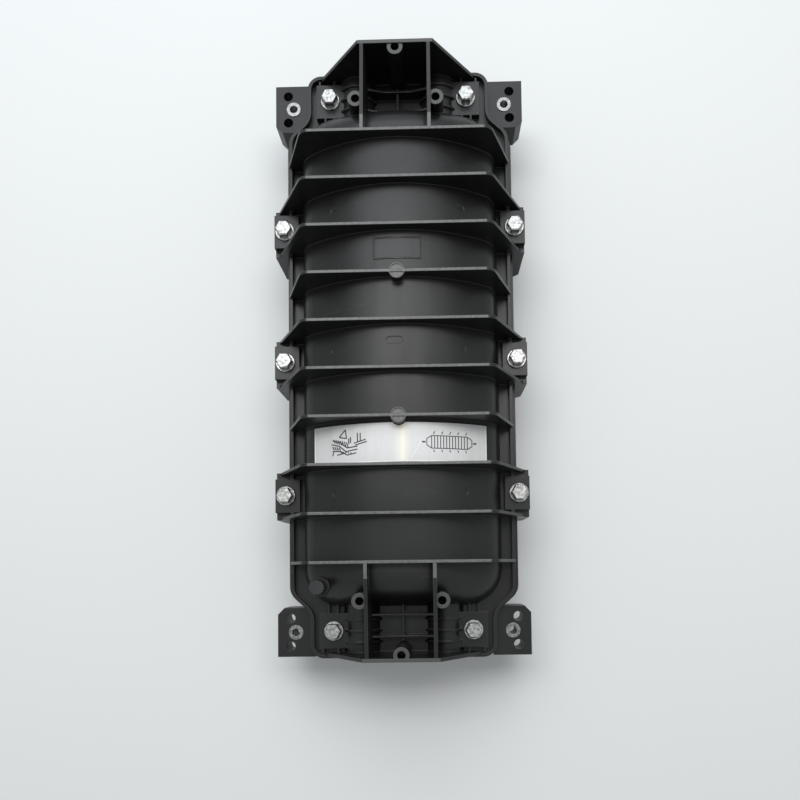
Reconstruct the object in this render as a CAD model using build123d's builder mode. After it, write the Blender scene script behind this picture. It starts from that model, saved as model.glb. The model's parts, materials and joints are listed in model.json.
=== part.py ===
from build123d import *
import os

# Fibre optic splice closure in millimetres: two ribbed half shells bolted together around a stack
# of splice trays. X runs across, Y along and Z up, and the closure lies on the rib crests of its
# lower shell, at Z = 0. The shells meet on a level split plane. Both are drawn as a half that
# rises from that plane, and the lower one is then turned over.

# Split plane, and how far the end walls stand from the middle
lower_depth = 62.0
half_length = 262.0

# Dome of each half shell
dome_half_width = 89.0
dome_half_length = 220.0
dome_rise = 53.0
dome_shoulder = 20.0
dome_side_taper = 12.0
dome_edge_radius = 25.0
dome_corner_radius = 34.0
shell_wall = 3.0

# Flange around the dome, with a raised lip at its edge
flange_thickness = 6.0
lip_thickness = 3.0
lip_rise = 12.0
lip_half_length = 264.0
upper_lip_half_width = 99.5
lower_lip_half_width = 103.0
upper_neck_half_width = 82.0
lower_neck_half_width = 85.0
neck_start = 208.0
neck_end = 224.0
neck_radius = 16.0
end_corner_radius = 12.0

# Cross ribs
rib_pitch = 40.0
rib_pairs = 5
rib_thickness = 2.4
crest_rise = 62.0
crest_half_width = 79.5
crest_corner_radius = 10.0
wing_half_width = 113.0
lower_crest_half_width = 92.0
lower_wing_drop = 38.0
lower_rib_drop = 30.0
winged_ribs = (0.5, 2.5, 3.5)      # in pitches from the middle

# Bolt pads, beside the dome and at the ends
side_bolt_x = 103.5
side_bolt_pitch = 3 * rib_pitch
end_bolt_x = 61.5
end_bolt_y = 240.0
side_pad_width = 22.0
side_pad_length = 30.0
end_pad_width = 25.0
end_pad_length = 31.0
bolt_hole_clearance = 0.5

# Small gussets that tie each end pad to the dome and to the end wall
gusset_thickness = 1.6
inner_gusset_x = (58.0, 66.0)
outer_gusset_x = (57.6, 71.0)

# Flange bolts and the nuts under them
bolt_radius = 4.0
bolt_length = 30.0
bolt_flange_radius = 8.9
bolt_flange_height = 1.6
bolt_flange_taper = 20.0
hex_across_flats = 13.0
hex_height = 6.6
hex_chamfer = 0.9
nut_height = 6.5
nut_pocket_clearance = 0.2
thread_clearance = 0.05

# End walls, long ribs and grids between the ports
end_wall_thickness = 3.0
end_wall_rise = 55.0
end_wall_half_crest = 32.0
end_wall_foot = 69.0
long_rib_x = 28.3
long_rib_thickness = 3.0
grid_rib_places = (226.0, 245.0)
grid_rib_thickness = 1.8
grid_rise = 16.0
grid_side_rise = 20.0
grid_middle_half_length = 12.0
spine_end = 249.0
spine_rise = 14.0
port_rib_radius = 19.0
port_rib_thickness = 1.8
port_rib_pitch = 10.0

# Ring bosses, and solid bosses with a shallow dish in their tops
ring_boss_radius = 6.75
ring_bore_radius = 3.5
ring_bore_depth = 25.0
ring_boss_rise = 54.0
inner_ring_x = 34.0
inner_ring_y = 212.0
outer_ring_y = 256.5
solid_boss_radius = 6.5
solid_boss_y = 1.5 * rib_pitch
solid_boss_rim = 1.0
solid_boss_dish = 0.6

# Cable ports, two at each end, halved by the split plane
port_x = 37.0
port_outer_radius = 17.0
port_bore_radius = 11.0
grommet_radius = 13.0
grommet_gap = 0.3
grommet_start = dome_half_length
grommet_end = 250.0
cable_radius = 8.0
grommet_rib_depth = 0.8
grommet_ribs = 4

# Seal groove in the lower flange
seal_path_half_width = 92.7
seal_path_half_length = 225.0
seal_path_radius = 34.0
seal_width = 4.0
seal_height = 3.0
seal_side_gap = 0.3

# Ears of the lower shell, with threaded inserts
ear_inner_x = 80.0
ear_outer_x = 114.0
ear_start = 220.0
ear_end = 264.0
ear_depth = 26.0
ear_wall = 4.0
ear_top = 6.0
ear_chamfer = 6.0
insert_x = 97.5
insert_y = 242.0
insert_radius = 6.6
insert_bore_radius = 3.5
insert_length = 18.0
insert_boss_wall = 3.4
insert_recess = 0.6
ear_hole_x = 102.5
ear_hole_offset = 12.5
ear_hole_radius = 4.3

# Air valve in a corner of the dome
valve_x = -70.0
valve_y = -200.5
valve_boss_radius = 8.5
valve_boss_rise = 38.0
valve_boss_height = 20.0
valve_stem_radius = 2.5
valve_stem_bore = 1.2
valve_stem_above = 7.5
valve_seat_thickness = 1.6
valve_nut_width = 8.0
valve_nut_height = 4.0
valve_cap_radius = 6.5
valve_cap_height = 8.5
valve_cap_wall = 1.4
valve_cap_chamfer = 0.5
valve_gap = 0.3
valve_cap_flutes = 16
valve_flute_radius = 0.6

# Label and the bare plate field on the dome
label_thickness = 0.4
label_half_width = 74.0
label_start = -97.2
label_end = -64.4
field_half_width = 20.0
field_start = 74.0
field_end = 92.5
field_line = 0.9
field_rise = 0.5

# Moulding marks on the dome: one long gate mark and six small round ones, sunk a little
mark_depth = 0.4
gate_mark_x = -3.0
gate_mark_y = 5.0
gate_mark_length = 14.0
gate_mark_width = 6.0
round_mark_radius = 2.6
round_mark_x = 54.5
round_mark_y = 122.0

# Steel frame that carries the trays
frame_z = 40.0
frame_thickness = 1.5
frame_half_width = 58.0
frame_half_length = 205.0
frame_fold = 9.0
frame_corner_radius = 8.0
frame_post_x = 45.0
frame_post_y = 132.0
frame_post_radius = 7.0
frame_screw_radius = 2.5
frame_screw_length = 14.0
pan_head_radius_factor = 1.85
pan_head_height_factor = 0.95
cross_slot_width = 0.9
frame_window_width = 26.0
frame_window_length = 60.0
frame_window_x = 26.0
frame_window_y = 40.0
frame_window_radius = 5.0

# Splice trays
tray_count = 4
tray_half_width = 52.0
tray_half_length = 80.0
tray_height = 10.0
tray_wall = 1.5
tray_floor = 1.4
tray_corner_radius = 14.0
tray_step_gap = 0.2
spool_radius = 22.0
spool_wall = 1.4
spool_y = 42.0
spool_height = 6.5
tray_slot_width = 12.0
tray_slot_x = 34.0
lug_x = 38.0
lug_width = 6.0
lug_reach = 12.0
hinge_pin_radius = 1.5
hinge_pin_rise = 3.4
hinge_clearance = 0.05
hinge_block_gap = 0.3
hinge_block_length = 12.0
hinge_block_wall = 4.0
hinge_block_foot = 3.0
comb_half_width = 17.0
comb_length = 34.0
comb_base = 1.0
comb_rib = 1.0
comb_rib_height = 5.5
comb_slots = 12
tray_cover_thickness = 1.6

# Strap around the tray stack
strap_y = -46.0
strap_width = 16.0
strap_thickness = 1.2
strap_gap = 0.4
strap_slot_clearance = 0.6

# Cable clamps inside each port
clamp_y = 188.0
clamp_width = 38.0
clamp_length = 14.0
clamp_cable_gap = 0.5
clamp_top_drop = 4.0
saddle_thickness = 1.5
saddle_screw_offset = 14.0
saddle_screw_radius = 2.0
saddle_screw_length = 12.0
strength_y = 158.0
strength_size = 12.0
strength_hole_radius = 2.2
strength_screw_radius = 2.0
strength_screw_grip = 8.0
strength_top_rise = 7.0

os.makedirs("parts", exist_ok=True)

# Derived places
split = Plane.XY.offset(lower_depth)
rib_places = [rib_pitch * (n + 0.5) for n in range(-rib_pairs, rib_pairs)]
side_bolts = [(x, y) for x in (-side_bolt_x, side_bolt_x)
              for y in (-side_bolt_pitch, 0, side_bolt_pitch)]
side_pads = [(side * (wing_half_width - side_pad_width / 2), y) for side in (-1, 1)
             for y in (-side_bolt_pitch, 0, side_bolt_pitch)]
end_bolts = [(x, y) for x in (-end_bolt_x, end_bolt_x) for y in (-end_bolt_y, end_bolt_y)]
port_places = [("front_left", -port_x, -1), ("front_right", port_x, -1),
               ("back_left", -port_x, 1), ("back_right", port_x, 1)]
frame_post_places = [(x, y) for x in (-frame_post_x, frame_post_x)
                     for y in (-frame_post_y, frame_post_y)]
saddle_screw_places = [(x + step, reach * clamp_y) for name, x, reach in port_places
                       for step in (-saddle_screw_offset, saddle_screw_offset)]
bolt_hole_radius = bolt_radius + bolt_hole_clearance
frame_top = frame_z + frame_thickness
stack_top = frame_top + tray_count * tray_height
clamp_top = lower_depth - clamp_top_drop
hinge_y = tray_half_length + lug_reach - hinge_pin_rise
strap_side = tray_half_width + strap_gap + strap_thickness / 2
valve_inner_rise = valve_boss_rise - valve_boss_height


def save(part, name):
    """Labels a finished piece and writes it to a STEP file of the same name."""
    part.label = name
    export_step(part, f"parts/{name}.step")


def dome_form(inset):
    """Solid dome that stands on Z = 0, drawn in by inset on its sides and top."""
    width = dome_half_width - inset
    length = dome_half_length - inset
    rise = dome_rise - inset
    shoulder = dome_shoulder - inset
    with BuildPart() as form:
        with BuildSketch():
            RectangleRounded(2 * width, 2 * length, dome_corner_radius - inset)
        extrude(amount=rise, taper=dome_side_taper)
        with BuildSketch(Plane.XZ):
            with BuildLine():
                Polyline((-width, shoulder), (-width, 0), (width, 0), (width, shoulder))
                ThreePointArc((-width, shoulder), (0, rise), (width, shoulder))
            make_face()
        extrude(amount=length, both=True, mode=Mode.INTERSECT)
        fillet(form.faces().sort_by(Axis.Z)[-1].edges(), dome_edge_radius - inset)
    return form.part


def flange_outline(half_width, neck_width):
    """Plan of a flange: straight along the dome, drawn in past its corners to the end pads."""
    corners = [(half_width, neck_start), (neck_width, neck_end), (neck_width, lip_half_length)]
    right = corners[::-1] + [(x, -y) for x, y in corners]
    left = [(-x, -y) for x, y in right]
    with BuildSketch() as outline:
        with BuildLine():
            Polyline(*right, *left, close=True)
        make_face()
        rows = outline.vertices().group_by(Axis.Y)
        fillet([bend for row in rows[1:-1] for bend in row], neck_radius)
        rows = outline.vertices().group_by(Axis.Y)
        fillet(rows[0] + rows[-1], end_corner_radius)
    return outline.sketch


def rib_profile(points):
    """Face of one cross rib, mirrored about the middle from the points of its right half."""
    with BuildSketch(Plane.XZ) as profile:
        with BuildLine():
            Polyline(*points, *[(-x, z) for x, z in points[::-1]], close=True)
        make_face()
        fillet(profile.vertices().group_by(Axis.Y)[-1], crest_corner_radius)
    return profile.sketch


def port_rounds(radius):
    """Upper halves of two round faces on the ports' axes."""
    with BuildSketch() as rounds:
        with Locations((-port_x, 0), (port_x, 0)):
            Circle(radius)
        Rectangle(2 * (port_x + radius), radius, align=(Align.CENTER, Align.MIN),
                  mode=Mode.INTERSECT)
    return rounds.sketch


def end_structure():
    """Port tubes, end wall, long ribs, grid and ring bosses, at both ends of a half shell."""
    rib_start = rib_places[-1]
    wall_start = half_length - end_wall_thickness
    ring_places = [(-inner_ring_x, inner_ring_y), (inner_ring_x, inner_ring_y), (0, outer_ring_y)]
    with BuildPart() as ends:
        with BuildSketch(Plane.XZ.offset(-half_length)):
            add(port_rounds(port_outer_radius))
        extrude(amount=half_length - dome_half_length + shell_wall)
        for n in (-1, 0, 1):
            with BuildSketch(Plane.XZ.offset(-(end_bolt_y + n * port_rib_pitch))):
                add(port_rounds(port_rib_radius))
            extrude(amount=port_rib_thickness / 2, both=True)
        with BuildSketch(Plane.XZ.offset(-half_length)):
            with BuildLine():
                Polyline((-end_wall_foot, 0), (-end_wall_foot, lip_rise),
                         (-end_wall_half_crest, end_wall_rise), (end_wall_half_crest, end_wall_rise),
                         (end_wall_foot, lip_rise), (end_wall_foot, 0), close=True)
            make_face()
        extrude(amount=end_wall_thickness)
        for x in (-long_rib_x, long_rib_x):
            with BuildSketch(Plane.YZ.offset(x)):
                with BuildLine():
                    Polyline((rib_start, 0), (rib_start, crest_rise), (wall_start, end_wall_rise),
                             (wall_start, 0), close=True)
                make_face()
            extrude(amount=long_rib_thickness / 2, both=True)
        for y in grid_rib_places:
            with BuildSketch(Plane.XZ.offset(-y)):
                with BuildLine():
                    Polyline((-long_rib_x, 0), (-long_rib_x, grid_side_rise),
                             (-grid_middle_half_length, grid_rise),
                             (grid_middle_half_length, grid_rise),
                             (long_rib_x, grid_side_rise), (long_rib_x, 0), close=True)
                make_face()
            extrude(amount=grid_rib_thickness / 2, both=True)
        with BuildSketch(Plane.YZ):
            with Locations((spine_end, 0)):
                Rectangle(spine_end - dome_half_length + shell_wall, spine_rise,
                          align=(Align.MAX, Align.MIN))
        extrude(amount=grid_rib_thickness / 2, both=True)
        with BuildSketch():
            for side in (-1, 1):
                with Locations(*[(side * x, dome_half_length - shell_wall) for x in inner_gusset_x]):
                    Rectangle(gusset_thickness, end_bolt_y - dome_half_length,
                              align=(Align.CENTER, Align.MIN))
                with Locations(*[(side * x, wall_start) for x in outer_gusset_x]):
                    Rectangle(gusset_thickness, wall_start - end_bolt_y,
                              align=(Align.CENTER, Align.MAX))
        extrude(amount=lip_rise)
        with BuildSketch():
            with Locations(*ring_places):
                Circle(ring_boss_radius)
            Rectangle(2 * wing_half_width, 2 * half_length, mode=Mode.INTERSECT)
        extrude(amount=ring_boss_rise)
        with BuildSketch(Plane.XY.offset(ring_boss_rise)):
            with Locations(*ring_places):
                Circle(ring_bore_radius)
        extrude(amount=-ring_bore_depth, mode=Mode.SUBTRACT)
        mirror(about=Plane.XZ)
    return ends.part


def port_void():
    """Grommet seats and cable passages of the four ports."""
    with BuildPart() as void:
        for reach in (-1, 1):
            with BuildSketch(Plane.XZ.offset(-reach * (half_length + end_wall_thickness))):
                with Locations((-port_x, 0), (port_x, 0)):
                    Circle(port_bore_radius)
            extrude(amount=reach * (half_length + end_wall_thickness - inner_ring_y))
            with BuildSketch(Plane.XZ.offset(-reach * grommet_start)):
                with Locations((-port_x, 0), (port_x, 0)):
                    Circle(grommet_radius)
            extrude(amount=-reach * (grommet_end - grommet_start))
    return void.part


def shell_half(lip_half_width, neck_half_width, wing_points, rib_points):
    """One moulded half shell, standing on the split plane with its open side down."""
    outline = flange_outline(lip_half_width, neck_half_width)
    wing = rib_profile(wing_points)
    rib = rib_profile(rib_points)
    with BuildPart() as flange:
        with BuildSketch():
            add(outline)
            with GridLocations(0, side_bolt_pitch, 1, 3):
                Rectangle(2 * wing_half_width, rib_pitch + rib_thickness)
        extrude(amount=flange_thickness)
        with BuildSketch():
            add(outline)
            offset(outline, amount=-lip_thickness, mode=Mode.SUBTRACT)
        extrude(amount=lip_rise)
        with BuildSketch():
            with Locations(*side_pads):
                Rectangle(side_pad_width, side_pad_length)
            with Locations(*end_bolts):
                Rectangle(end_pad_width, end_pad_length)
        extrude(amount=lip_rise)
    with BuildPart() as ribs:
        for y in rib_places:
            face = wing if abs(y) / rib_pitch in winged_ribs else rib
            extrude(Pos(Y=y) * face, amount=rib_thickness / 2, both=True)
    with BuildPart() as bosses:
        with BuildSketch():
            with GridLocations(0, 2 * solid_boss_y, 1, 2):
                Circle(solid_boss_radius)
        extrude(amount=crest_rise)
        with BuildSketch(Plane.XY.offset(crest_rise)):
            with GridLocations(0, 2 * solid_boss_y, 1, 2):
                Circle(solid_boss_radius - solid_boss_rim)
        extrude(amount=-solid_boss_dish, mode=Mode.SUBTRACT)
    with BuildPart() as bolt_holes:
        with BuildSketch():
            with Locations(*side_bolts, *end_bolts):
                Circle(bolt_hole_radius)
        extrude(amount=2 * lip_rise)
    solids = [flange.part, dome_form(0), ribs.part, bosses.part, end_structure()]
    voids = [dome_form(shell_wall), port_void(), bolt_holes.part]
    with BuildPart() as half:
        add(solids)
        add(voids, mode=Mode.SUBTRACT)
    return half.part


def side_lip_points(crest, lip, drop):
    """Right half of a plain rib, from the split plane up to its crest."""
    return [(lip, 0), (lip, drop), (crest, crest_rise)]


def moulding_marks():
    """What the gate mark and the round marks take out of the dome's outside."""
    sunk_dome = dome_form(mark_depth)
    with BuildPart() as marks:
        with BuildSketch():
            with Locations((gate_mark_x, gate_mark_y)):
                SlotOverall(gate_mark_length, gate_mark_width)
            with GridLocations(2 * round_mark_x, round_mark_y, 2, 3):
                Circle(round_mark_radius)
        extrude(amount=crest_rise)
        add(sunk_dome, mode=Mode.SUBTRACT)
    return marks.part


def make_upper_shell():
    """Upper half shell, with valve boss, bare plate field and moulding marks on its dome."""
    half = shell_half(upper_lip_half_width, upper_neck_half_width,
                      [(wing_half_width, 0), (crest_half_width, crest_rise)],
                      side_lip_points(crest_half_width, upper_lip_half_width, lip_rise))
    raised_dome = dome_form(-field_rise)
    cavity = dome_form(shell_wall)
    with BuildPart() as field:
        with BuildSketch():
            with Locations((0, (field_start + field_end) / 2)):
                Rectangle(2 * field_half_width, field_end - field_start)
                Rectangle(2 * (field_half_width - field_line),
                          field_end - field_start - 2 * field_line, mode=Mode.SUBTRACT)
        extrude(amount=crest_rise)
        add(raised_dome, mode=Mode.INTERSECT)
        add(cavity, mode=Mode.SUBTRACT)
    with BuildPart() as boss:
        with BuildSketch(Plane.XY.offset(valve_inner_rise)):
            with Locations((valve_x, valve_y)):
                Circle(valve_boss_radius)
        extrude(amount=valve_boss_height)
    with BuildPart() as upper_shell:
        add(half)
        add(field.part)
        add(boss.part)
        add(moulding_marks(), mode=Mode.SUBTRACT)
        with Locations((valve_x, valve_y, 0)):
            Cylinder(valve_stem_radius, crest_rise, align=(Align.CENTER, Align.CENTER, Align.MIN),
                     mode=Mode.SUBTRACT)
    return split.location * upper_shell.part


def seal_ring(width, height):
    """Closed loop of seal or groove, hanging down from the split plane."""
    with BuildPart() as ring:
        with BuildSketch(split):
            for side, mode in ((1, Mode.ADD), (-1, Mode.SUBTRACT)):
                edge = side * width / 2
                RectangleRounded(2 * (seal_path_half_width + edge),
                                 2 * (seal_path_half_length + edge),
                                 seal_path_radius + edge, mode=mode)
        extrude(amount=-height)
    return ring.part


def ear_blocks(ear_places):
    """Solid blocks of the four ears, their outer corners towards the middle cut off."""
    with BuildPart() as blocks:
        with BuildSketch(split):
            with Locations(*ear_places):
                Rectangle(ear_outer_x - ear_inner_x, ear_end - ear_start)
        extrude(amount=-ear_depth)
        uprights = blocks.edges().filter_by(Axis.Z)
        chamfer([edge for edge in uprights if abs(edge.center().X) > insert_x
                 and abs(edge.center().Y) < insert_y], ear_chamfer)
    return blocks.part


def ear_hollows(ear_places, insert_places, hole_places):
    """Open underside of the ears, around their insert bosses and plain holes."""
    with BuildPart() as hollows:
        with BuildSketch(split.offset(-ear_depth)):
            with Locations(*ear_places):
                Rectangle(ear_outer_x - ear_inner_x - 2 * ear_wall,
                          ear_end - ear_start - 2 * ear_wall)
            with Locations(*insert_places):
                Circle(insert_radius + insert_boss_wall, mode=Mode.SUBTRACT)
            with Locations(*hole_places):
                Circle(ear_hole_radius + ear_wall / 2, mode=Mode.SUBTRACT)
        extrude(amount=ear_depth - ear_top)
        with BuildSketch(split):
            with Locations(*hole_places):
                Circle(ear_hole_radius)
            with Locations(*insert_places):
                Circle(insert_bore_radius)
        extrude(amount=-ear_depth)
        with BuildSketch(split):
            with Locations(*insert_places):
                Circle(insert_radius)
        extrude(amount=-insert_length)
    return hollows.part


def frame_posts(radius, top, height):
    """Round posts or their screw bores, hanging down from a level under the tray frame."""
    with BuildPart() as posts:
        with BuildSketch(Plane.XY.offset(top)):
            with GridLocations(2 * frame_post_x, 2 * frame_post_y, 2, 2):
                Circle(radius)
        extrude(amount=-height)
    return posts.part


def make_lower_shell():
    """Lower half shell, with ears, seal groove, nut pockets and posts for the tray frame."""
    half = shell_half(lower_lip_half_width, lower_neck_half_width,
                      [(wing_half_width, 0), (wing_half_width, lower_wing_drop),
                       (lower_crest_half_width, crest_rise)],
                      side_lip_points(lower_crest_half_width, lower_lip_half_width,
                                      lower_rib_drop))
    turned = split.location * mirror(half, about=Plane.XY)
    ear_places = [(x * (ear_inner_x + ear_outer_x) / 2, y * (ear_start + ear_end) / 2)
                  for x in (-1, 1) for y in (-1, 1)]
    insert_places = [(x, y) for x in (-insert_x, insert_x) for y in (-insert_y, insert_y)]
    hole_places = [(x, y + step) for x in (-ear_hole_x, ear_hole_x)
                   for y in (-insert_y, insert_y) for step in (-ear_hole_offset, ear_hole_offset)]
    inside = split.location * mirror(dome_form(shell_wall / 2), about=Plane.XY)
    with BuildPart() as posts:
        add(frame_posts(frame_post_radius, frame_z, frame_z))
        add(inside, mode=Mode.INTERSECT)
    with BuildPart() as pockets:
        with BuildSketch(Plane.XY.offset(lower_depth - lip_rise)):
            with Locations(*side_bolts, *end_bolts):
                RegularPolygon(hex_across_flats / 2 + nut_pocket_clearance, 6,
                               major_radius=False)
        extrude(amount=nut_height)
    with BuildPart() as lower_shell:
        add([turned, ear_blocks(ear_places), posts.part])
        add([ear_hollows(ear_places, insert_places, hole_places),
             frame_posts(frame_screw_radius, frame_z, frame_screw_length), pockets.part,
             seal_ring(seal_width + 2 * seal_side_gap, seal_height)], mode=Mode.SUBTRACT)
    return lower_shell.part


def make_bolts():
    """Ten flange bolts: hexagon head, round flange and plain shank, one solid each."""
    seat = Plane.XY.offset(lower_depth + lip_rise)
    with BuildPart() as head:
        with BuildSketch(seat):
            Circle(bolt_flange_radius)
        extrude(amount=bolt_flange_height, taper=bolt_flange_taper)
        with BuildSketch(seat.offset(bolt_flange_height)):
            RegularPolygon(hex_across_flats / 2, 6, major_radius=False)
        extrude(amount=hex_height)
        chamfer(head.edges().group_by(Axis.Z)[-1], hex_chamfer)
        with BuildSketch(seat):
            Circle(bolt_radius)
        extrude(amount=-bolt_length)
        chamfer(head.edges().group_by(Axis.Z)[0], hex_chamfer)
    with BuildPart() as bolts:
        with Locations(*side_bolts, *end_bolts):
            add(head.part)
    return bolts.part


def make_nuts():
    """Ten hexagon nuts, held in the pockets under the lower pads."""
    with BuildPart() as nuts:
        with BuildSketch(Plane.XY.offset(lower_depth - lip_rise)):
            with Locations(*side_bolts, *end_bolts):
                RegularPolygon(hex_across_flats / 2, 6, major_radius=False)
                Circle(bolt_radius + thread_clearance, mode=Mode.SUBTRACT)
        extrude(amount=nut_height)
    return nuts.part


def make_inserts():
    """Four threaded inserts in the ears, their rims just proud of the plastic."""
    with BuildPart() as inserts:
        with BuildSketch(split.offset(insert_recess)):
            with GridLocations(2 * insert_x, 2 * insert_y, 2, 2):
                Circle(insert_radius)
                Circle(insert_bore_radius, mode=Mode.SUBTRACT)
        extrude(amount=-(insert_length + insert_recess))
    return inserts.part


def make_seals():
    """Cut lengths of the seal: one along each side and one between the ports of each end."""
    side_end = port_x + grommet_radius + seal_side_gap
    middle_end = port_x - grommet_radius - seal_side_gap
    loop = seal_ring(seal_width, seal_height)
    reach = 2 * half_length
    pieces = {}
    for name, x in (("seal_cord_left", -1), ("seal_cord_right", 1)):
        with BuildPart() as cord:
            add(loop)
            with BuildSketch():
                with Locations((x * side_end, 0)):
                    Rectangle(reach, reach, align=(Align.MIN if x > 0 else Align.MAX, Align.CENTER))
            extrude(amount=lower_depth, mode=Mode.INTERSECT)
        pieces[name] = cord.part
    for name, y in (("end_seal_front", -1), ("end_seal_back", 1)):
        with BuildPart() as block:
            add(loop)
            with BuildSketch():
                with Locations((0, y * dome_half_length)):
                    Rectangle(2 * middle_end, reach,
                              align=(Align.CENTER, Align.MIN if y > 0 else Align.MAX))
            extrude(amount=lower_depth, mode=Mode.INTERSECT)
        pieces[name] = block.part
    return pieces


def make_grommet(x, reach):
    """Ribbed rubber grommet of one port, with the cable's bore through it."""
    length = grommet_end - grommet_start - 2 * grommet_gap
    radius = grommet_radius - grommet_gap
    step = length / (2 * grommet_ribs + 1)
    start = grommet_start + grommet_gap
    with BuildPart() as grommet:
        with BuildSketch(Plane.XY.offset(lower_depth)):
            with Locations((x + (cable_radius + radius) / 2, reach * (start + length / 2))):
                Rectangle(radius - cable_radius, length)
            with Locations((x + radius, reach * (start + length / 2))):
                with GridLocations(0, 2 * step, 1, grommet_ribs):
                    Rectangle(2 * grommet_rib_depth, step, mode=Mode.SUBTRACT)
        revolve(axis=Axis((x, 0, lower_depth), (0, 1, 0)))
    return grommet.part


def make_valve():
    """Air valve in the dome's corner: stem with its nut below, seat washer and fluted cap."""
    boss_top = lower_depth + valve_boss_rise
    boss_base = lower_depth + valve_inner_rise
    pieces = {}
    with BuildPart() as stem:
        with BuildSketch(Plane.XY.offset(boss_base - valve_nut_height)):
            with Locations((valve_x, valve_y)):
                RegularPolygon(valve_nut_width / 2, 6, major_radius=False)
        extrude(amount=valve_nut_height)
        with BuildSketch(Plane.XY.offset(boss_base - valve_nut_height)):
            with Locations((valve_x, valve_y)):
                Circle(valve_stem_radius - thread_clearance)
        extrude(amount=boss_top + valve_stem_above - boss_base + valve_nut_height)
        with BuildSketch(Plane.XY.offset(boss_top + valve_stem_above)):
            with Locations((valve_x, valve_y)):
                Circle(valve_stem_bore)
        extrude(amount=-valve_stem_above, mode=Mode.SUBTRACT)
    pieces["valve_stem"] = stem.part
    with BuildPart() as washer:
        with BuildSketch(Plane.XY.offset(boss_top)):
            with Locations((valve_x, valve_y)):
                Circle(valve_cap_radius)
                Circle(valve_stem_radius, mode=Mode.SUBTRACT)
        extrude(amount=valve_seat_thickness)
    pieces["valve_washer"] = washer.part
    cap_base = boss_top + valve_seat_thickness + valve_gap
    with BuildPart() as cap:
        with BuildSketch(Plane.XY.offset(cap_base)):
            with Locations((valve_x, valve_y)):
                Circle(valve_cap_radius)
                with PolarLocations(valve_cap_radius, valve_cap_flutes):
                    Circle(valve_flute_radius, mode=Mode.SUBTRACT)
        extrude(amount=valve_cap_height)
        chamfer(cap.faces().sort_by(Axis.Z)[-1].edges(), valve_cap_chamfer)
        with BuildSketch(Plane.XY.offset(cap_base)):
            with Locations((valve_x, valve_y)):
                Circle(valve_stem_radius + thread_clearance)
        extrude(amount=valve_cap_height - valve_cap_wall, mode=Mode.SUBTRACT)
    pieces["valve_cap"] = cap.part
    return pieces


def make_label():
    """Foil label that lies on the dome between two ribs."""
    with BuildPart() as label:
        with BuildSketch():
            with Locations((0, (label_start + label_end) / 2)):
                Rectangle(2 * label_half_width, label_end - label_start)
            with Locations((0, -solid_boss_y)):
                Circle(solid_boss_radius + label_thickness, mode=Mode.SUBTRACT)
        extrude(amount=crest_rise)
        add(dome_form(-label_thickness), mode=Mode.INTERSECT)
        add(dome_form(0), mode=Mode.SUBTRACT)
    return split.location * label.part


def make_frame():
    """Folded steel frame under the trays, with windows, strap slots and screw holes."""
    with BuildPart() as frame:
        with BuildSketch(Plane.XY.offset(frame_z)):
            RectangleRounded(2 * frame_half_width, 2 * frame_half_length, frame_corner_radius)
        extrude(amount=frame_thickness)
        for side in (-1, 1):
            with BuildSketch(Plane.XY.offset(frame_top)):
                with Locations((side * (frame_half_width - frame_thickness / 2), 0)):
                    Rectangle(frame_thickness, 2 * (frame_half_length - frame_corner_radius))
            extrude(amount=-frame_fold)
        with BuildSketch(Plane.XY.offset(frame_top)):
            with GridLocations(2 * frame_window_x, 2 * frame_window_y, 2, 2):
                RectangleRounded(frame_window_width, frame_window_length, frame_window_radius)
            with GridLocations(2 * frame_post_x, 2 * frame_post_y, 2, 2):
                Circle(frame_screw_radius + thread_clearance)
            with Locations((-strap_side, strap_y), (strap_side, strap_y)):
                Rectangle(strap_thickness + 2 * strap_slot_clearance,
                          strap_width + 2 * strap_slot_clearance)
        extrude(amount=-frame_thickness, mode=Mode.SUBTRACT)
    return frame.part


def pan_screws(places, top, radius, length):
    """Pan head screws with a cross recess, their heads standing on a level at top."""
    with BuildPart() as screw:
        with BuildSketch(Plane.XY.offset(top)):
            Circle(radius * pan_head_radius_factor)
        extrude(amount=radius * pan_head_height_factor)
        fillet(screw.edges().group_by(Axis.Z)[-1], radius / 2)
        with BuildSketch(Plane.XY.offset(top + radius * pan_head_height_factor)):
            Rectangle(2 * radius, cross_slot_width)
            Rectangle(cross_slot_width, 2 * radius)
        extrude(amount=-radius * pan_head_height_factor / 2, mode=Mode.SUBTRACT)
        with BuildSketch(Plane.XY.offset(top)):
            Circle(radius)
        extrude(amount=-length)
    with BuildPart() as screws:
        with Locations(*places):
            add(screw.part)
    return screws.part


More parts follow.
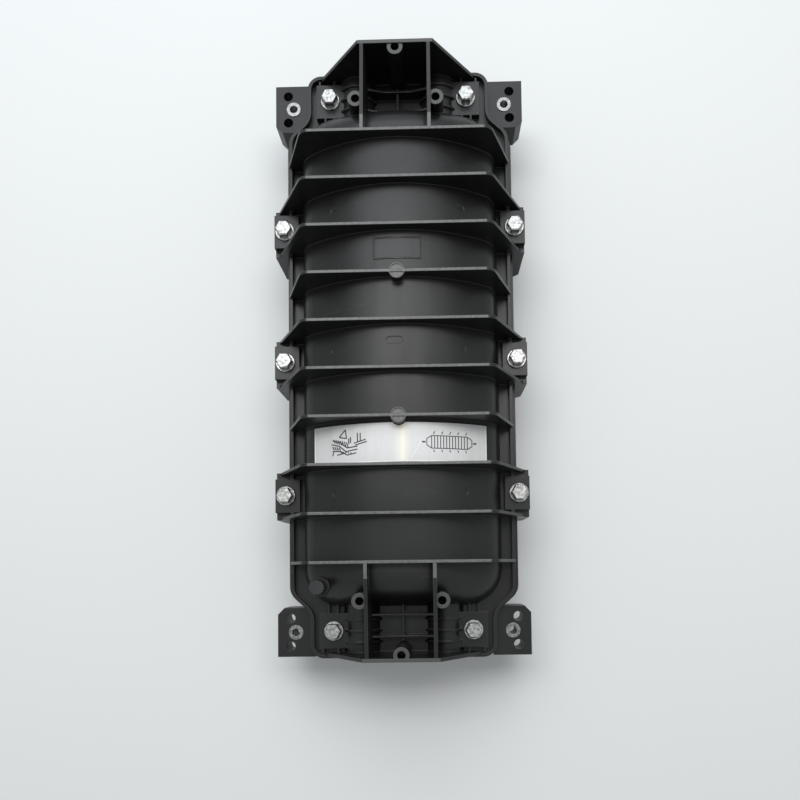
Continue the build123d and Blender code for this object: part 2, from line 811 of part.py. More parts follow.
def make_tray(base):
    """One splice tray: floor and rim with fibre entries, two spools and the hinge lugs."""
    with BuildPart() as tray:
        with BuildSketch(Plane.XY.offset(base)):
            RectangleRounded(2 * tray_half_width, 2 * tray_half_length, tray_corner_radius)
        extrude(amount=tray_height - tray_step_gap)
        with BuildSketch(Plane.XY.offset(base + tray_floor)):
            RectangleRounded(2 * (tray_half_width - tray_wall), 2 * (tray_half_length - tray_wall),
                             tray_corner_radius - tray_wall)
        extrude(amount=tray_height, mode=Mode.SUBTRACT)
        with BuildSketch(Plane.XY.offset(base + tray_floor)):
            with GridLocations(2 * tray_slot_x, 2 * tray_half_length, 2, 2):
                Rectangle(tray_slot_width, 4 * tray_wall)
        extrude(amount=tray_height, mode=Mode.SUBTRACT)
        with BuildSketch(Plane.XY.offset(base)):
            with Locations((0, -spool_y), (0, spool_y)):
                Circle(spool_radius)
                Circle(spool_radius - spool_wall, mode=Mode.SUBTRACT)
        extrude(amount=tray_floor + spool_height)
        for side in (-1, 1):
            with BuildSketch(Plane.YZ.offset(side * lug_x)):
                with BuildLine():
                    Polyline((tray_half_length - tray_wall, base), (hinge_y, base))
                    ThreePointArc((hinge_y, base),
                                  (hinge_y + hinge_pin_rise, base + hinge_pin_rise),
                                  (hinge_y, base + 2 * hinge_pin_rise))
                    Polyline((hinge_y, base + 2 * hinge_pin_rise),
                             (tray_half_length - tray_wall, base + 2 * hinge_pin_rise),
                             (tray_half_length - tray_wall, base))
                make_face()
                with Locations((hinge_y, base + hinge_pin_rise)):
                    Circle(hinge_pin_radius + hinge_clearance, mode=Mode.SUBTRACT)
            extrude(amount=lug_width / 2, both=True)
    return tray.part


def make_comb(base):
    """Holder with slots for the splice protectors, in the middle of a tray."""
    pitch = (comb_length - comb_rib) / comb_slots
    with BuildPart() as comb:
        with BuildSketch(Plane.XY.offset(base + tray_floor)):
            Rectangle(2 * comb_half_width, comb_length)
        extrude(amount=comb_base)
        with BuildSketch(Plane.XY.offset(base + tray_floor)):
            with GridLocations(0, pitch, 1, comb_slots + 1):
                Rectangle(2 * comb_half_width, comb_rib)
        extrude(amount=comb_rib_height)
    return comb.part


def make_hinge_block():
    """Upright block on the frame that carries the trays' hinge pins, open between the lugs."""
    inner = lug_x - lug_width / 2 - hinge_block_gap
    pin_heights = [frame_top + n * tray_height + hinge_pin_rise for n in range(tray_count)]
    with BuildPart() as block:
        with BuildSketch(Plane.XY.offset(frame_top)):
            with Locations((0, hinge_y)):
                Rectangle(2 * inner, hinge_block_length)
        extrude(amount=tray_count * tray_height)
        with BuildSketch(Plane.XY.offset(frame_top + hinge_block_foot)):
            with Locations((0, hinge_y)):
                Rectangle(2 * (inner - hinge_block_wall), hinge_block_length)
        extrude(amount=tray_count * tray_height, mode=Mode.SUBTRACT)
        with BuildSketch(Plane.YZ.offset(-inner)):
            with Locations(*[(hinge_y, height) for height in pin_heights]):
                Circle(hinge_pin_radius + hinge_clearance)
        extrude(amount=2 * inner, mode=Mode.SUBTRACT)
    return block.part


def make_hinge_pins():
    """Two short steel pins for each tray, through its lugs into the hinge block."""
    reach = lug_x + lug_width / 2
    grip = lug_width + hinge_block_gap + hinge_block_wall
    with BuildPart() as pins:
        for n in range(tray_count):
            place = (hinge_y, frame_top + n * tray_height + hinge_pin_rise)
            for side in (-1, 1):
                with BuildSketch(Plane.YZ.offset(side * reach)):
                    with Locations(place):
                        Circle(hinge_pin_radius)
                extrude(amount=-side * grip)
    return pins.part


def make_tray_cover():
    """Clear lid on the top tray."""
    with BuildPart() as cover:
        with BuildSketch(Plane.XY.offset(stack_top - tray_step_gap)):
            RectangleRounded(2 * tray_half_width, 2 * tray_half_length, tray_corner_radius)
        extrude(amount=tray_cover_thickness)
    return cover.part


def make_strap():
    """Band around the tray stack and under the frame."""
    top = stack_top - tray_step_gap + tray_cover_thickness + strap_gap
    bottom = frame_z - strap_gap
    middle = (top + bottom) / 2
    width = 2 * strap_side - strap_thickness
    with BuildPart() as strap:
        with BuildSketch(Plane.XZ.offset(-strap_y)):
            with Locations((0, middle)):
                Rectangle(width + 2 * strap_thickness, top - bottom + 2 * strap_thickness)
                Rectangle(width, top - bottom, mode=Mode.SUBTRACT)
        extrude(amount=strap_width / 2, both=True)
    return strap.part


def make_clamp_block(x, y):
    """Block with a round notch that a cable lies in, standing on the frame."""
    with BuildPart() as block:
        with BuildSketch(Plane.XZ.offset(-y)):
            with Locations((x, frame_top)):
                Rectangle(clamp_width, clamp_top - frame_top, align=(Align.CENTER, Align.MIN))
            with Locations((x, lower_depth)):
                Circle(cable_radius + clamp_cable_gap, mode=Mode.SUBTRACT)
        extrude(amount=clamp_length / 2, both=True)
        with BuildSketch(Plane.XY.offset(clamp_top)):
            with Locations((x - saddle_screw_offset, y), (x + saddle_screw_offset, y)):
                Circle(saddle_screw_radius + thread_clearance)
        extrude(amount=-saddle_screw_length, mode=Mode.SUBTRACT)
    return block.part


def make_saddle(x, y):
    """Steel saddle over a cable, with a flat foot and a screw hole on each side."""
    inner = cable_radius + clamp_cable_gap
    with BuildPart() as saddle:
        with BuildSketch(Plane.XZ.offset(-y)):
            with Locations((x, lower_depth)):
                Circle(inner + saddle_thickness)
                Rectangle(2 * clamp_width, clamp_width, align=(Align.CENTER, Align.MAX),
                          mode=Mode.SUBTRACT)
            with Locations((x, clamp_top)):
                Rectangle(clamp_width, saddle_thickness, align=(Align.CENTER, Align.MIN))
                Rectangle(2 * (inner + saddle_thickness), clamp_top_drop,
                          align=(Align.CENTER, Align.MIN))
            with Locations((x, lower_depth)):
                Circle(inner, mode=Mode.SUBTRACT)
            with Locations((x, clamp_top)):
                Rectangle(2 * inner, clamp_top_drop, align=(Align.CENTER, Align.MIN),
                          mode=Mode.SUBTRACT)
        extrude(amount=clamp_length / 2, both=True)
        with BuildSketch(Plane.XY.offset(clamp_top)):
            with Locations((x - saddle_screw_offset, y), (x + saddle_screw_offset, y)):
                Circle(saddle_screw_radius + thread_clearance)
        extrude(amount=saddle_thickness, mode=Mode.SUBTRACT)
    return saddle.part


def make_strength_clamp(x, y):
    """Square post with a hole for a cable's strength member and a screw hole from above."""
    top = lower_depth + strength_top_rise
    with BuildPart() as clamp:
        with BuildSketch(Plane.XY.offset(frame_top)):
            with Locations((x, y)):
                Rectangle(strength_size, strength_size)
        extrude(amount=top - frame_top)
        with BuildSketch(Plane.XZ.offset(-y)):
            with Locations((x, lower_depth)):
                Circle(strength_hole_radius)
        extrude(amount=strength_size, both=True, mode=Mode.SUBTRACT)
        with BuildSketch(Plane.XY.offset(top)):
            with Locations((x, y)):
                Circle(strength_screw_radius + thread_clearance)
        extrude(amount=lower_depth - top, mode=Mode.SUBTRACT)
    return clamp.part


save(make_upper_shell(), "upper_shell")
save(make_lower_shell(), "lower_shell")
save(make_bolts(), "flange_bolts")
save(make_nuts(), "flange_nuts")
save(make_inserts(), "ear_inserts")
save(make_label(), "label_plate")
for name, piece in (make_seals() | make_valve()).items():
    save(piece, name)

save(make_frame(), "tray_frame")
save(pan_screws(frame_post_places, frame_top, frame_screw_radius, frame_screw_length),
     "frame_screws")
for n in range(tray_count):
    tray_base = frame_top + n * tray_height
    save(make_tray(tray_base), f"splice_tray_{n + 1}")
    save(make_comb(tray_base), f"splice_comb_{n + 1}")
save(make_hinge_block(), "tray_hinge_block")
save(make_hinge_pins(), "tray_hinge_pins")
save(make_tray_cover(), "tray_cover")
save(make_strap(), "tray_strap")

for name, x, reach in port_places:
    save(make_grommet(x, reach), f"port_grommet_{name}")
    save(make_clamp_block(x, reach * clamp_y), f"clamp_block_{name}")
    save(make_saddle(x, reach * clamp_y), f"cable_saddle_{name}")
    save(make_strength_clamp(x, reach * strength_y), f"strength_clamp_{name}")
save(pan_screws(saddle_screw_places, clamp_top + saddle_thickness, saddle_screw_radius,
                saddle_screw_length), "saddle_screws")
save(pan_screws([(x, reach * strength_y) for name, x, reach in port_places],
                lower_depth + strength_top_rise, strength_screw_radius,
                strength_screw_grip - saddle_thickness), "strength_screws")
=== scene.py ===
"""Looks of a horizontal in-line fibre optic splice closure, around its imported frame. Metres, +Z up."""

import json
import math

import bmesh
import bpy
from mathutils import Euler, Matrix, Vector
from mathutils.bvhtree import BVHTree


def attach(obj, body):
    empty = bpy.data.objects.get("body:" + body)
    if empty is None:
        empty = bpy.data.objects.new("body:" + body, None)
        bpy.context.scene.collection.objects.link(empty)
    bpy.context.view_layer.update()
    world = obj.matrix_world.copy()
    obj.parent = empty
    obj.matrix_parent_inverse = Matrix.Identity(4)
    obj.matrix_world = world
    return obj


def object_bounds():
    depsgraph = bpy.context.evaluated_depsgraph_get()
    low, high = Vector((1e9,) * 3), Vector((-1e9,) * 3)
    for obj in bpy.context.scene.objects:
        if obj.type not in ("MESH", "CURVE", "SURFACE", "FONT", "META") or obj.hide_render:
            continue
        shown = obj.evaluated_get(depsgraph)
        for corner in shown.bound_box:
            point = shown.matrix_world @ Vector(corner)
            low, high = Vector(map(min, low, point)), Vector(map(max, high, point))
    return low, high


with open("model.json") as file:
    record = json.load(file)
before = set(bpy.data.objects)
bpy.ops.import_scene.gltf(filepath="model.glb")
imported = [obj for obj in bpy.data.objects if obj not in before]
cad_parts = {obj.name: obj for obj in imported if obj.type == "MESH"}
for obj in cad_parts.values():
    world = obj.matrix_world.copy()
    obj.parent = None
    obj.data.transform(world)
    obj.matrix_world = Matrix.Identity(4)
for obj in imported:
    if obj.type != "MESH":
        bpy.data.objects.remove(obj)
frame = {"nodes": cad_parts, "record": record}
cad_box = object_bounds()
nodes = frame["nodes"]

MM = 0.001


# Camera and stage

CAMERA_PLACE = (0.0296, -0.1841, 0.6575)
CAMERA_TURN_DEG = (2.276, 1.079, -0.716)
LENS_MM = 29.7
SENSOR_MM = 36.0
SHIFT = (-0.03, 0.175)
CLIP = (0.01, 20.0)

LIGHT_AIM = (0, 0.05, 0.1)
AMBIENT_COLOUR = (0.95, 0.97, 1.0)
AMBIENT_STRENGTH = 0.42
BACKDROP_COLOUR = (0.80, 0.83, 0.84)

FLOOR_COLOUR = (0.80, 0.82, 0.815)
FLOOR_MOTTLE = 0.985
FLOOR_HALF = 6.0
FLOOR_DROP = 0.5 * MM
FLOOR_FADE = (0.75, 1.7)


def make_camera():
    data = bpy.data.cameras.new("camera")
    data.lens = LENS_MM
    data.sensor_width = SENSOR_MM
    data.shift_x, data.shift_y = SHIFT
    data.clip_start, data.clip_end = CLIP
    camera = bpy.data.objects.new("camera", data)
    camera.location = CAMERA_PLACE
    camera.rotation_euler = Euler([math.radians(a) for a in CAMERA_TURN_DEG], "XYZ")
    bpy.context.scene.collection.objects.link(camera)
    bpy.context.scene.camera = camera


def area_light(name, place, size, watts, colour):
    data = bpy.data.lights.new(name, "AREA")
    data.shape = "RECTANGLE"
    data.size, data.size_y = size
    data.energy = watts
    data.color = colour
    light = bpy.data.objects.new(name, data)
    light.location = place
    light.rotation_euler = (Vector(LIGHT_AIM) - Vector(place)).to_track_quat("-Z", "Y").to_euler()
    bpy.context.scene.collection.objects.link(light)


def make_world():
    """Weak light on the object, and a pale backdrop behind it that metal and glass show too."""
    world = bpy.data.worlds.new("studio")
    bpy.context.scene.world = world
    world.use_nodes = True
    tree = world.node_tree
    tree.nodes.clear()
    output = tree.nodes.new("ShaderNodeOutputWorld")
    mix = tree.nodes.new("ShaderNodeMixShader")
    ambient = tree.nodes.new("ShaderNodeBackground")
    ambient.inputs["Color"].default_value = (*AMBIENT_COLOUR, 1)
    ambient.inputs["Strength"].default_value = AMBIENT_STRENGTH
    backdrop = tree.nodes.new("ShaderNodeBackground")
    backdrop.inputs["Color"].default_value = (*BACKDROP_COLOUR, 1)
    path = tree.nodes.new("ShaderNodeLightPath")
    seen = path.outputs["Is Camera Ray"]
    for ray in ("Is Glossy Ray", "Is Transmission Ray"):
        either = tree.nodes.new("ShaderNodeMath")
        either.operation = "MAXIMUM"
        tree.links.new(seen, either.inputs[0])
        tree.links.new(path.outputs[ray], either.inputs[1])
        seen = either.outputs[0]
    tree.links.new(seen, mix.inputs["Fac"])
    tree.links.new(ambient.outputs[0], mix.inputs[1])
    tree.links.new(backdrop.outputs[0], mix.inputs[2])
    tree.links.new(mix.outputs[0], output.inputs["Surface"])


# Materials

# Levels of the upward faces that are painted paler, partly for wear and partly as painted highlight,
# reckoned from the top of the solids: rib crests and ring bosses
CREST_LEVEL = cad_box[1][2] - 0.4 * MM
RING_LEVEL = cad_box[1][2] - 7.8 * MM
LEVEL_REACH = 0.8 * MM
UPWARD = 0.98

# The flange bolts' shanks lie farther out than this, and below this level
THREAD_FROM_X = 57 * MM
THREAD_TOP = 73.8 * MM
THREAD_PITCH = 1.25 * MM
THREAD_STRENGTH = 0.9
THREAD_DEPTH = 0.5 * MM

# Across the label, the middle and the reach of its painted sheen
PAINTED_SHEEN_X = 3.0 * MM
PAINTED_SHEEN_REACH = 10 * MM

# Values of a texture between which a colour or a number changes
SOFT = (0.3, 0.7)
GRAINY = (0.35, 0.75)
FULL = (0.2, 0.8)

# Cosine between the rounded and the flat normal where an edge begins to show, and where it shows in full
EDGE_AGREEMENT = (0.985, 0.75)

# Radians that a band texture turns through over one unit of length at a scale of one
BAND_RADIANS = 20


class Shade:
    """One principled material, with the node helpers that the finishes share.

    Its colour and roughness are the finish's plain values, which most finishes then vary.
    """

    def __init__(self, name, colour, roughness, metallic=0.0, specular=0.5):
        self.material = bpy.data.materials.new(name)
        self.material.use_nodes = True
        self.tree = self.material.node_tree
        self.shader = self.tree.nodes["Principled BSDF"]
        self.shader.inputs["Base Color"].default_value = (*colour, 1)
        self.shader.inputs["Roughness"].default_value = roughness
        self.shader.inputs["Metallic"].default_value = metallic
        self.shader.inputs["Specular IOR Level"].default_value = specular
        self.place = self.tree.nodes.new("ShaderNodeTexCoord").outputs["Object"]
        self.normal = None

    def node(self, kind, **settings):
        made = self.tree.nodes.new(kind)
        for key, value in settings.items():
            setattr(made, key, value)
        return made

    def link(self, source, target):
        self.tree.links.new(source, target)

    def feed(self, value, target):
        """Links an output to the target, or sets the target to a number or a colour."""
        if isinstance(value, bpy.types.NodeSocket):
            self.link(value, target)
        elif isinstance(value, tuple):
            target.default_value = (*value, 1)
        else:
            target.default_value = value

    def parts(self, vector):
        """The outputs X, Y and Z of a vector."""
        made = self.node("ShaderNodeSeparateXYZ")
        self.link(vector, made.inputs[0])
        return made.outputs

    def noise(self, scale, detail=4.0, roughness=0.55, stretch=(1, 1, 1), distortion=0.0):
        made = self.node("ShaderNodeTexNoise")
        made.inputs["Scale"].default_value = scale
        made.inputs["Detail"].default_value = detail
        made.inputs["Roughness"].default_value = roughness
        made.inputs["Distortion"].default_value = distortion
        mapping = self.node("ShaderNodeMapping")
        mapping.inputs["Scale"].default_value = stretch
        self.link(self.place, mapping.inputs["Vector"])
        self.link(mapping.outputs[0], made.inputs["Vector"])
        return made.outputs["Fac"]

    def ramp(self, factor, stops):
        """Colours by factor, from at least two stops of a position and a colour."""
        made = self.node("ShaderNodeValToRGB")
        made.color_ramp.elements[0].position = stops[0][0]
        made.color_ramp.elements[0].color = (*stops[0][1], 1)
        made.color_ramp.elements[1].position = stops[-1][0]
        made.color_ramp.elements[1].color = (*stops[-1][1], 1)
        for position, colour in stops[1:-1]:
            made.color_ramp.elements.new(position).color = (*colour, 1)
        self.link(factor, made.inputs["Fac"])
        return made.outputs["Color"]

    def tint(self, factor, first, last, reach=SOFT):
        """Colours from the first to the last, while the factor goes through its reach."""
        return self.ramp(factor, [(reach[0], first), (reach[1], last)])

    def span(self, factor, reach, results, interpolation="LINEAR"):
        """Numbers from the first result to the last, while the factor goes through its reach."""
        made = self.node("ShaderNodeMapRange", interpolation_type=interpolation)
        for name, value in zip(("From Min", "From Max", "To Min", "To Max"), (*reach, *results)):
            made.inputs[name].default_value = value
        self.link(factor, made.inputs["Value"])
        return made.outputs["Result"]

    def mix(self, factor, first, second):
        """One colour over the other, through the colour sockets of a mix node."""
        made = self.node("ShaderNodeMix", data_type="RGBA")
        self.feed(factor, made.inputs[0])
        self.feed(first, made.inputs[6])
        self.feed(second, made.inputs[7])
        return made.outputs[2]

    def math(self, operation, *values):
        made = self.node("ShaderNodeMath", operation=operation)
        for value, target in zip(values, made.inputs):
            self.feed(value, target)
        return made.outputs[0]

    def colour(self, source):
        self.link(source, self.shader.inputs["Base Color"])

    def roughness(self, source):
        self.link(source, self.shader.inputs["Roughness"])

    def round_edges(self, radius):
        """Shades sharp edges as if they had this radius, and returns how near an edge a point is."""
        bevel = self.node("ShaderNodeBevel", samples=6)
        bevel.inputs["Radius"].default_value = radius
        flat = self.node("ShaderNodeNewGeometry").outputs["Normal"]
        facing = self.node("ShaderNodeVectorMath", operation="DOT_PRODUCT")
        self.link(bevel.outputs["Normal"], facing.inputs[0])
        self.link(flat, facing.inputs[1])
        self.normal = bevel.outputs["Normal"]
        self.link(self.normal, self.shader.inputs["Normal"])
        return self.span(facing.outputs["Value"], EDGE_AGREEMENT, (0.0, 1.0))

    def thread(self):
        """Height of rings round the upright axis, one for each pitch."""
        wave = self.node("ShaderNodeTexWave", wave_type="BANDS", bands_direction="Z")
        wave.inputs["Scale"].default_value = 2 * math.pi / (BAND_RADIANS * THREAD_PITCH)
        self.link(self.place, wave.inputs["Vector"])
        return wave.outputs["Fac"]

    def level_faces(self, level):
        """One on faces that look straight up and lie at a level, else nought."""
        geometry = self.node("ShaderNodeNewGeometry")
        place = self.parts(self.place)
        facing = self.parts(geometry.outputs["True Normal"])
        near = self.math("COMPARE", place["Z"], level, LEVEL_REACH)
        upward = self.math("GREATER_THAN", facing["Z"], UPWARD)
        return self.math("MULTIPLY", near, upward)

    def bump(self, height, strength, distance):
        made = self.node("ShaderNodeBump")
        made.inputs["Strength"].default_value = strength
        made.inputs["Distance"].default_value = distance
        self.link(height, made.inputs["Height"])
        if self.normal is not None:
            self.link(self.normal, made.inputs["Normal"])
        self.normal = made.outputs["Normal"]
        self.link(self.normal, self.shader.inputs["Normal"])


def shell_plastic():
    """Satin black plastic, painted paler on narrow edges and on the crests of ribs and bosses: partly
    wear, partly painted highlight.
    """
    black, charcoal = (0.0050, 0.0052, 0.0050), (0.0125, 0.0125, 0.0128)
    # Pale colours for edges, crests and boss tops stand partly for wear and partly for painted highlight
    scratched, worn_and_highlit_edge, worn_and_highlit_ring = (0.045, 0.045, 0.044), (0.075, 0.075, 0.074), (0.07, 0.07, 0.069)
    scuffed_and_highlit, rubbed_and_highlit = (0.09, 0.09, 0.088), (0.17, 0.17, 0.166)
    shade = Shade("black_moulded_shell", (0.01, 0.01, 0.01), 0.36, specular=0.32)
    edge = shade.round_edges(0.9 * MM)
    clouds = shade.noise(9.0, detail=3.0, stretch=(1, 2.2, 1))
    scratches = shade.noise(38.0, detail=6.0, roughness=0.7, stretch=(0.35, 3.2, 1), distortion=0.8)
    crest_speckle = shade.noise(340.0, roughness=0.65)
    streaks = shade.noise(22.0, detail=5.0, roughness=0.6, stretch=(1, 0.12, 1), distortion=0.4)
    surface = shade.tint(clouds, black, charcoal)
    surface = shade.mix(shade.span(scratches, (0.64, 0.72), (0.0, 0.55)), surface, scratched)
    # Narrow edges painted paler: edge wear together with a painted highlight
    surface = shade.mix(edge, surface, worn_and_highlit_edge)
    # Upward faces of rib crests and ring bosses painted paler: scuffs together with a painted highlight
    surface = shade.mix(shade.level_faces(CREST_LEVEL), surface, shade.tint(crest_speckle, scuffed_and_highlit, rubbed_and_highlit))
    surface = shade.mix(shade.level_faces(RING_LEVEL), surface, worn_and_highlit_ring)
    shade.colour(surface)
    shade.roughness(shade.span(streaks, SOFT, (0.26, 0.46)))
    shade.bump(shade.noise(2600.0, detail=2.0), 0.10, 0.04 * MM)
    return shade.material


def plain_plastic(name, colour, roughness, variation=0.15):
    shade = Shade(name, colour, roughness)
    shade.round_edges(0.4 * MM)
    darker = tuple(c * (1 - variation) for c in colour)
    lighter = tuple(min(1.0, c * (1 + variation)) for c in colour)
    shade.colour(shade.tint(shade.noise(24.0), darker, lighter))
    shade.roughness(shade.span(shade.noise(60.0), SOFT, (roughness - 0.06, roughness + 0.08)))
    shade.bump(shade.noise(2200.0, detail=2.0), 0.08, 0.03 * MM)
    return shade.material


def zinc_steel():
    """Zinc plate: bright, a little blotched, with turned thread lines below the bolt heads."""
    shade = Shade("zinc_plated_steel", (0.5, 0.5, 0.49), 0.28, metallic=1.0)
    shade.round_edges(0.5 * MM)
    blotches = shade.noise(330.0, detail=5.0, roughness=0.7)
    shade.colour(shade.ramp(blotches, [(0.34, (0.12, 0.12, 0.118)), (0.5, (0.30, 0.30, 0.295)),
                                       (0.66, (0.50, 0.50, 0.485))]))
    shade.roughness(shade.span(shade.noise(700.0), SOFT, (0.26, 0.46)))
    shade.bump(shade.noise(420.0, detail=3.0), 0.5, 0.12 * MM)
    place = shade.parts(shade.place)
    outside = shade.math("GREATER_THAN", shade.math("ABSOLUTE", place["X"]), THREAD_FROM_X)
    below = shade.math("LESS_THAN", place["Z"], THREAD_TOP)
    shank = shade.math("MULTIPLY", outside, below)
    shade.bump(shade.math("MULTIPLY", shade.thread(), shank), THREAD_STRENGTH, THREAD_DEPTH)
    return shade.material


def sheet_steel():
    """Rolled sheet, with faint lines along the closure."""
    shade = Shade("plain_sheet_steel", (0.60, 0.61, 0.62), 0.35, metallic=1.0)
    shade.round_edges(0.25 * MM)
    rolled = shade.noise(300.0, roughness=0.6, stretch=(1, 0.04, 1))
    shade.colour(shade.tint(rolled, (0.50, 0.51, 0.52), (0.68, 0.69, 0.70)))
    shade.roughness(shade.span(rolled, SOFT, (0.28, 0.45)))
    shade.bump(rolled, 0.12, 0.02 * MM)
    return shade.material


def insert_steel():
    shade = Shade("turned_insert_steel", (0.40, 0.40, 0.39), 0.3, metallic=1.0)
    shade.round_edges(0.6 * MM)
    turned = shade.noise(500.0, detail=3.0)
    shade.colour(shade.tint(turned, (0.12, 0.12, 0.117), (0.30, 0.30, 0.29)))
    shade.roughness(shade.span(turned, SOFT, (0.22, 0.4)))
    shade.bump(shade.thread(), THREAD_STRENGTH, THREAD_DEPTH)
    return shade.material


def rubber(name, colour):
    shade = Shade(name, colour, 0.72, specular=0.3)
    lighter = tuple(c * 1.7 for c in colour)
    shade.colour(shade.tint(shade.noise(120.0, detail=5.0), colour, lighter, GRAINY))
    shade.roughness(shade.span(shade.noise(300.0), SOFT, (0.62, 0.82)))
    shade.bump(shade.noise(1800.0, detail=3.0), 0.2, 0.05 * MM)
    return shade.material


def label_foil():
    """Brushed silver foil with a painted warm sheen across its middle."""
    shade = Shade("printed_silver_foil", (0.6, 0.6, 0.6), 0.5, metallic=0.1, specular=0.25)
    brushed = shade.noise(160.0, detail=3.0, roughness=0.5, stretch=(1, 0.1, 1))
    foil = shade.tint(brushed, (0.68, 0.68, 0.676), (0.76, 0.76, 0.756))
    # A painted reflection: a warm pale band in the foil's colour across its middle
    off_middle = shade.math("ABSOLUTE", shade.math("SUBTRACT", shade.parts(shade.place)["X"], PAINTED_SHEEN_X))
    painted_sheen = shade.span(off_middle, (0.0, PAINTED_SHEEN_REACH), (1.0, 0.0))
    shade.colour(shade.mix(shade.math("MULTIPLY", painted_sheen, painted_sheen), foil, (0.93, 0.91, 0.80)))
    shade.roughness(shade.span(brushed, SOFT, (0.46, 0.60)))
    shade.bump(shade.noise(30.0, detail=2.0), 0.2, 0.15 * MM)
    return shade.material


def print_ink(name, colour):
    shade = Shade(name, colour, 0.6)
    lighter = tuple(min(1.0, c * 1.5 + 0.02) for c in colour)
    shade.colour(shade.tint(shade.noise(900.0), colour, lighter, GRAINY))
    return shade.material


def nickel_brass():
    shade = Shade("nickel_plated_brass", (0.72, 0.66, 0.52), 0.3, metallic=1.0)
    shade.round_edges(0.3 * MM)
    shade.roughness(shade.span(shade.noise(500.0), SOFT, (0.22, 0.4)))
    shade.colour(shade.tint(shade.noise(200.0), (0.62, 0.56, 0.42), (0.78, 0.73, 0.6)))
    return shade.material


def clear_cover():
    shade = Shade("clear_tray_cover", (0.90, 0.93, 0.94), 0.12)
    shade.shader.inputs["Transmission Weight"].default_value = 0.9
    shade.shader.inputs["IOR"].default_value = 1.49
    shade.roughness(shade.span(shade.noise(80.0), SOFT, (0.06, 0.2)))
    return shade.material


def woven_band():
    shade = Shade("woven_band", (0.03, 0.03, 0.03), 0.8, specular=0.3)
    wave = shade.node("ShaderNodeTexWave", wave_type="BANDS", bands_direction="DIAGONAL")
    wave.inputs["Scale"].default_value = 900.0
    shade.link(shade.place, wave.inputs["Vector"])
    shade.colour(shade.tint(wave.outputs["Fac"], (0.015, 0.015, 0.015), (0.05, 0.05, 0.05), FULL))
    shade.bump(wave.outputs["Fac"], 0.5, 0.1 * MM)
    return shade.material


def dress_nodes():
    """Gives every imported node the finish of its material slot."""
    finishes = {
        "shell_plastic": shell_plastic(),
        "zinc_steel": zinc_steel(),
        "insert_steel": insert_steel(),
        "label_foil": label_foil(),
        "seal_rubber": rubber("seal_rubber", (0.03, 0.03, 0.03)),
        "grommet_rubber": rubber("grommet_rubber", (0.02, 0.02, 0.02)),
        "valve_brass": nickel_brass(),
        "cap_plastic": plain_plastic("valve_cap_plastic", (0.012, 0.012, 0.013), 0.3),
        "frame_steel": sheet_steel(),
        "tray_plastic": plain_plastic("tray_plastic", (0.62, 0.62, 0.58), 0.42, variation=0.05),
        "comb_plastic": plain_plastic("comb_plastic", (0.42, 0.46, 0.50), 0.45, variation=0.06),
        "block_plastic": plain_plastic("block_plastic", (0.018, 0.018, 0.018), 0.45),
        "cover_clear": clear_cover(),
        "strap_band": woven_band(),
    }
    for subpart in frame["record"]["subparts"]:
        mesh = nodes[subpart["node"]].data
        mesh.materials.clear()
        mesh.materials.append(finishes[subpart["material_slot"]])


# Print on the label: two plain line drawings, a crease and a pale rim, draped on its foil.
# Each is a list of strokes, and a stroke is a list of points in millimetres, seen from above.

LABEL_HALF = (74.0, 16.4)
LABEL_MIDDLE_Y = -80.8
RIM_INSET = 0.6
RIM_TOP_GAP = 0.4
CREASE = [(18.0, -80.4), (10.4, -94.3)]
STROKE_LIFT = 0.04
RAY_START_Z = 0.2


def closure_drawing():
    """A ribbed closure with a stub of cable at each end, and a row of ticks above and below."""
    left, right, low, high = 27.0, 57.0, -86.0, -75.5
    middle = (low + high) / 2
    ribs, rib_gap = 12, 0.4
    nose, nose_slope = 4, 2.6
    stub_from, stub_to, stub_half = 5, 8, 0.3
    ticks, tick_inset, tick_gap = 5, 1.5, 1.2
    upper_tick, lower_tick = (1.2, 3.6), (0.8, 3.2)
    strokes = [[(left, low), (right, low)], [(left, high), (right, high)]]
    for n in range(ribs + 1):
        x = left + (right - left) * n / ribs
        strokes.append([(x, low + rib_gap), (x, high - rib_gap)])
    for x, way in ((left, -1), (right, 1)):
        tip = x + nose * way
        strokes.append([(x, low), (tip, low + nose_slope), (tip, high - nose_slope), (x, high)])
        for y in (middle - stub_half, middle + stub_half):
            strokes.append([(x + stub_from * way, y), (x + stub_to * way, y)])
    for n in range(ticks):
        x = left + tick_inset + (right - left - 2 * tick_inset) * n / (ticks - 1)
        strokes.append([(x, high + tick_gap), (x + upper_tick[0], high + upper_tick[1])])
        strokes.append([(x, low - tick_gap), (x + lower_tick[0], low - lower_tick[1])])
    return strokes


def hatch(count, top, foot, pace, top_fall, foot_fall):
    """Short strokes from top to foot, each a pace farther on than the last and a little lower."""
    return [[(top[0] + pace * n, top[1] - top_fall * n), (foot[0] + pace * n, foot[1] - foot_fall * n)]
            for n in range(count)]


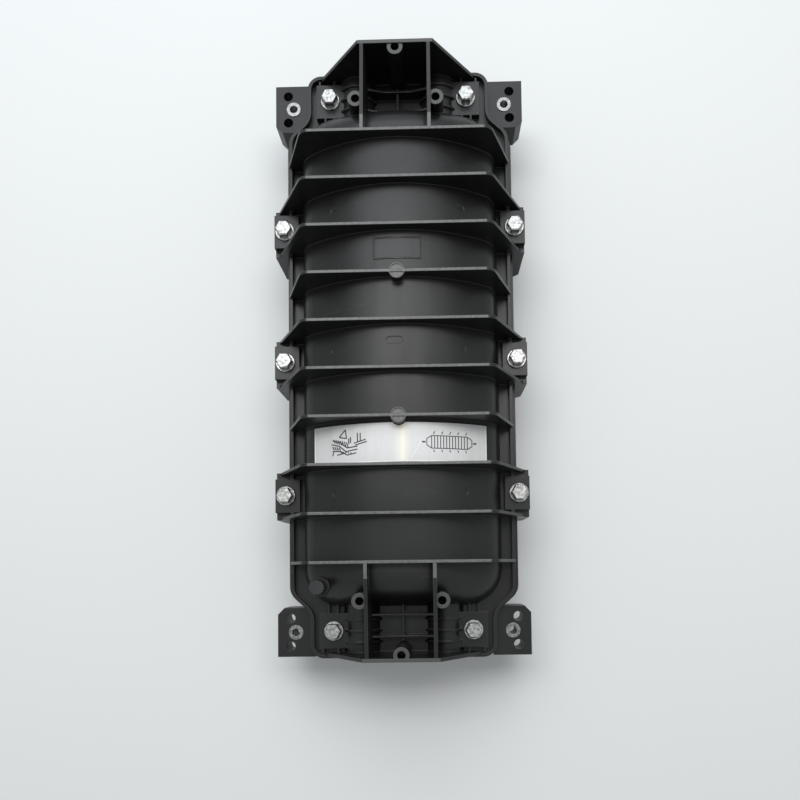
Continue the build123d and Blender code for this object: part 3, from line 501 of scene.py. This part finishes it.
def fitting_drawing():
    """An inclined tube in its bed, with hatched sides and a fitting above it."""
    tube = [[(-57, -77), (-50, -79), (-44, -84), (-35, -83)],
            [(-58, -80), (-51, -82), (-45, -87), (-35, -85.5)]]
    bed = [[(-57, -86), (-50, -86.5), (-44, -90), (-36, -88.5)],
           [(-53, -89.5), (-46, -88.2)], [(-57, -90), (-56, -86.5)]]
    sign = [[(-51, -74.5), (-45.5, -68.5), (-44.5, -76), (-51, -74.5)]]
    pins = [[(-41, -75), (-41, -80)], [(-42.6, -76), (-42.6, -81)],
            [(-35, -72), (-35, -79)], [(-32.6, -72), (-32.6, -79)]]
    shelf = [[(-38, -80.4), (-28, -77.6)], [(-37, -82), (-27, -79.5)]]
    hatches = (hatch(7, (-56, -76), (-54.6, -79.4), 1.9, 0.5, 0.7)
               + hatch(4, (-57, -81.8), (-55.6, -85.2), 1.9, 0.4, 0.2)
               + hatch(5, (-50, -86.4), (-49.2, -88.0), 2.2, 0.4, 0.2))
    return tube + bed + sign + pins + shelf + hatches


def rim_strokes():
    """Both ends and the lower side of the label."""
    x, y = LABEL_HALF[0] - RIM_INSET, LABEL_HALF[1] - RIM_INSET
    top, foot = LABEL_MIDDLE_Y + y - RIM_TOP_GAP, LABEL_MIDDLE_Y - y
    return [[(-x, top), (-x, foot), (x, foot), (x, top)]]


def drape(name, strokes, material, width, step=3.0):
    """Flat ribbons along the strokes, laid on the label's upper face."""
    label = nodes["label_plate"]
    surface = BVHTree.FromPolygons([label.matrix_world @ v.co for v in label.data.vertices],
                                   [list(p.vertices) for p in label.data.polygons])
    bm = bmesh.new()

    def landed(x, y):
        hit, normal, _, _ = surface.ray_cast(Vector((x * MM, y * MM, RAY_START_Z)), Vector((0, 0, -1)))
        return hit + normal * STROKE_LIFT * MM if hit else None

    for stroke in strokes:
        for (ax, ay), (bx, by) in zip(stroke, stroke[1:]):
            length = math.hypot(bx - ax, by - ay)
            across = (-(by - ay) / length * width / 2, (bx - ax) / length * width / 2)
            parts = max(1, math.ceil(length / step))
            previous = None
            for n in range(parts + 1):
                x, y = ax + (bx - ax) * n / parts, ay + (by - ay) * n / parts
                ends = [landed(x + side * across[0], y + side * across[1]) for side in (-1, 1)]
                row = None if None in ends else [bm.verts.new(end) for end in ends]
                if previous and row:
                    face = bm.faces.new((previous[0], previous[1], row[1], row[0]))
                    face.normal_update()
                    if face.normal.z < 0:
                        face.normal_flip()
                previous = row
    mesh = bpy.data.meshes.new(name)
    bm.to_mesh(mesh)
    bm.free()
    mesh.materials.append(material)
    piece = bpy.data.objects.new(name, mesh)
    bpy.context.scene.collection.objects.link(piece)
    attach(piece, "cover")


def print_label():
    dark = print_ink("print_ink_dark", (0.03, 0.03, 0.035))
    pale = print_ink("print_ink_pale", (0.88, 0.88, 0.86))
    drape("label_print_closure", closure_drawing(), dark, width=0.75)
    drape("label_print_fitting", fitting_drawing(), dark, width=1.0)
    drape("label_crease", [CREASE], pale, width=0.6)
    drape("label_rim", rim_strokes(), pale, width=0.9, step=2.0)


# Stage pieces

def make_floor():
    """A wide pale floor that fades into the backdrop with the distance from its middle."""
    bm = bmesh.new()
    sides = ((-1, -1), (1, -1), (1, 1), (-1, 1))
    bm.faces.new([bm.verts.new((x * FLOOR_HALF, y * FLOOR_HALF, 0)) for x, y in sides])
    mesh = bpy.data.meshes.new("floor")
    bm.to_mesh(mesh)
    bm.free()
    floor = bpy.data.objects.new("floor", mesh)
    floor.location.z = -FLOOR_DROP
    bpy.context.scene.collection.objects.link(floor)
    shade = Shade("pale_floor", FLOOR_COLOUR, 0.8)
    mottled = tuple(c * FLOOR_MOTTLE for c in FLOOR_COLOUR)
    shade.colour(shade.tint(shade.noise(3.0, detail=3.0), mottled, FLOOR_COLOUR, FULL))
    distance = shade.node("ShaderNodeVectorMath", operation="LENGTH")
    shade.link(shade.place, distance.inputs[0])
    fade = shade.span(distance.outputs["Value"], FLOOR_FADE, (1.0, 0.0), "SMOOTHSTEP")
    shade.link(fade, shade.shader.inputs["Alpha"])
    mesh.materials.append(shade.material)


make_camera()
make_world()
area_light("window", place=(-0.15, 1.15, 1.35), size=(1.6, 1.1), watts=12.5, colour=(0.88, 0.94, 1.0))
area_light("ceiling", place=(0.0, 0.62, 1.9), size=(2.4, 0.6), watts=20.0, colour=(1.0, 0.99, 0.97))
make_floor()
dress_nodes()
print_label()

bpy.context.scene.view_settings.view_transform = "Standard"
